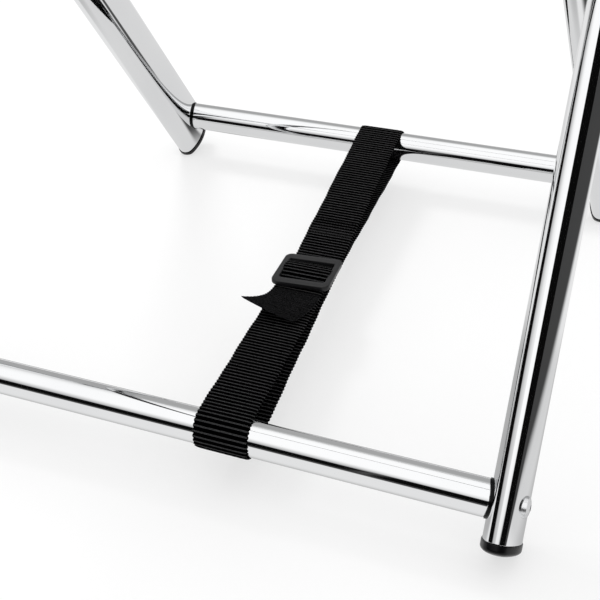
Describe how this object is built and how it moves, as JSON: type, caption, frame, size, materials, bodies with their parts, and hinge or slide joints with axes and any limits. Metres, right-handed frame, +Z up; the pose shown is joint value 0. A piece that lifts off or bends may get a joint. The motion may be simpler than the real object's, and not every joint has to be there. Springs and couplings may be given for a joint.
{
  "type": "folding valet stand",
  "caption": "Folding cross-leg valet stand: two chromed oval-tube frames on a pivot, held open by an adjustable black webbing strap.",
  "frame": {"origin": "on the floor, midway between the four feet, with the stand fully open", "axes": "+X along the crossbars, +Y towards the inner frame's feet, +Z up"},
  "size_m": [0.4934, 0.4944, 0.6607],
  "materials": {
    "chrome_tube": "mirror-polished chrome plate",
    "black_cap": "glossy black moulding",
    "black_washer": "black moulding, satin",
    "inner_metal": "plain turned steel",
    "fastener": "bright plated steel",
    "webbing": "black ribbed polypropylene webbing",
    "buckle": "black satin acetal moulding"
  },
  "bodies": {
    "outer_frame": {"outer_leg_left": "chrome_tube", "outer_leg_right": "chrome_tube", "outer_lower_bar": "chrome_tube", "outer_upper_bar": "chrome_tube", "outer_lower_collars": "black_cap", "outer_upper_collars": "black_cap", "outer_bar_plugs": "inner_metal", "outer_screws": "fastener", "outer_screw_washers": "fastener", "outer_foot_left": "black_cap", "outer_foot_right": "black_cap", "outer_top_cap_left": "black_cap", "outer_top_cap_right": "black_cap", "pivot_bolt_left": "fastener", "pivot_bolt_right": "fastener", "pivot_spacers": "black_washer", "pivot_nuts": "fastener", "pivot_washers": "black_washer"},
    "inner_frame": {"inner_leg_left": "chrome_tube", "inner_leg_right": "chrome_tube", "inner_lower_bar": "chrome_tube", "inner_upper_bar": "chrome_tube", "inner_lower_collars": "black_cap", "inner_upper_collars": "black_cap", "inner_bar_plugs": "inner_metal", "inner_screws": "fastener", "inner_screw_washers": "fastener", "inner_foot_left": "black_cap", "inner_foot_right": "black_cap", "inner_top_cap_left": "black_cap", "inner_top_cap_right": "black_cap", "pivot_sleeves": "inner_metal"},
    "strap_near": {"strap_near_half": "webbing", "strap_tail": "webbing", "slide_buckle": "buckle"},
    "strap_far": {"strap_far_half": "webbing", "strap_sewn_end": "webbing"}
  },
  "joints": [
    {"name": "fold", "type": "hinge", "parent": "outer_frame", "child": "inner_frame", "pos_m": [0, 0, 0.33], "axis": [-1, 0, 0], "range_deg": [0, 66], "deforming": ["strap_near_half", "strap_far_half", "strap_sewn_end"]},
    {"name": "strap_near_swing", "type": "hinge", "parent": "outer_frame", "child": "strap_near", "pos_m": [0, -0.21565, 0.04104], "axis": [1, 0, 0], "range_deg": [0, 51]},
    {"name": "strap_far_swing", "type": "hinge", "parent": "inner_frame", "child": "strap_far", "pos_m": [0, 0.21565, 0.04104], "axis": [-1, 0, 0], "range_deg": [0, 51]}
  ],
  "couplings": [
    {"joint": "strap_near_swing", "follows": "fold", "ratio": 0.7689},
    {"joint": "strap_far_swing", "follows": "fold", "ratio": 0.7689}
  ]
}
